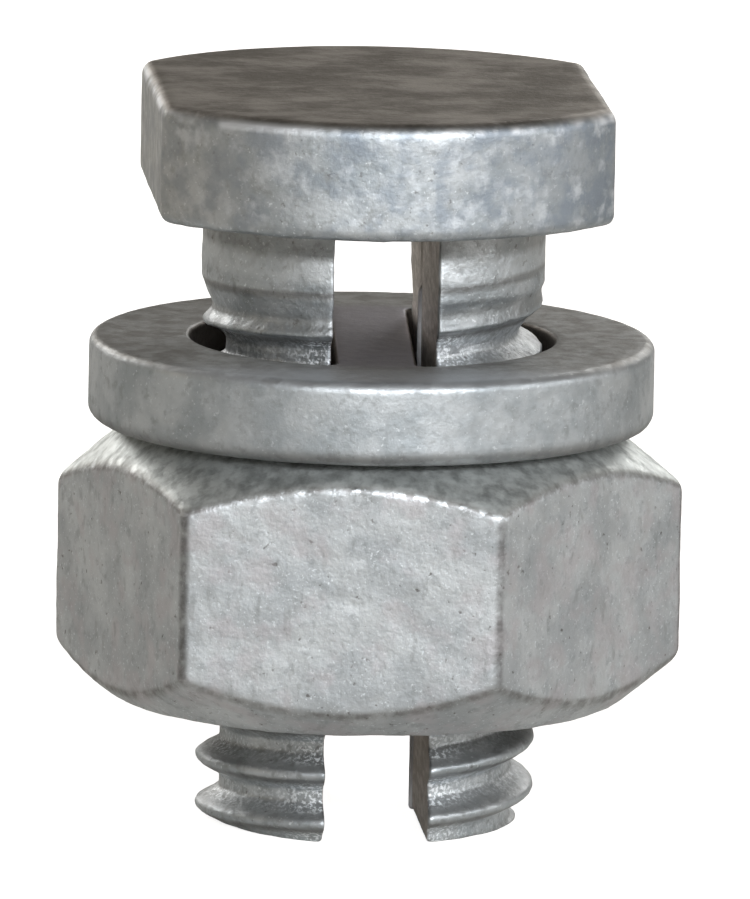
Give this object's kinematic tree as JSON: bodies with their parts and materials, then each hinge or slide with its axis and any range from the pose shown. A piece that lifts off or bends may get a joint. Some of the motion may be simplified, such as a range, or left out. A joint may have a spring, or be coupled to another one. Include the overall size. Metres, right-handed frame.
{
  "type": "split bolt connector",
  "caption": "Split bolt wire connector: slotted threaded bolt with a flatted round head, a keyed pressure plate and a hex nut that clamp a conductor in the slot.",
  "frame": {"origin": "on the bolt's axis, in the plane of the two leg ends that the connector stands on", "axes": "+Z along the bolt's axis from the leg ends to the head; Y along the slot, the way the conductor lies; X across the slot"},
  "size_m": [0.022, 0.021, 0.0265],
  "materials": {
    "bolt_zinc": "dull hot-dip galvanised steel, darker and finely brushed on the head's top, sparkling in the thread's roots",
    "plate_zinc": "dull galvanised steel, smooth dark top face and a mottled pale rim",
    "nut_zinc": "dull hot-dip galvanised steel, pale, mottled and lightly pitted"
  },
  "bodies": {
    "bolt": {"split_bolt": "bolt_zinc"},
    "plate": {"pressure_plate": "plate_zinc"},
    "nut": {"hex_nut": "nut_zinc"}
  },
  "joints": [
    {"name": "plate_slide", "type": "slide", "parent": "bolt", "child": "plate", "axis": [0, 0, 1], "range_m": [-0.01771, 0.00466]},
    {"name": "nut_turn", "type": "hinge", "parent": "plate", "child": "nut", "pos_m": [0, 0, 0.00948], "axis": [0, 0, 1], "range_deg": [-3640, 956]}
  ],
  "couplings": [
    {"joint": "plate_slide", "follows": "nut_turn", "m_per_rad": 0.00027852}
  ]
}
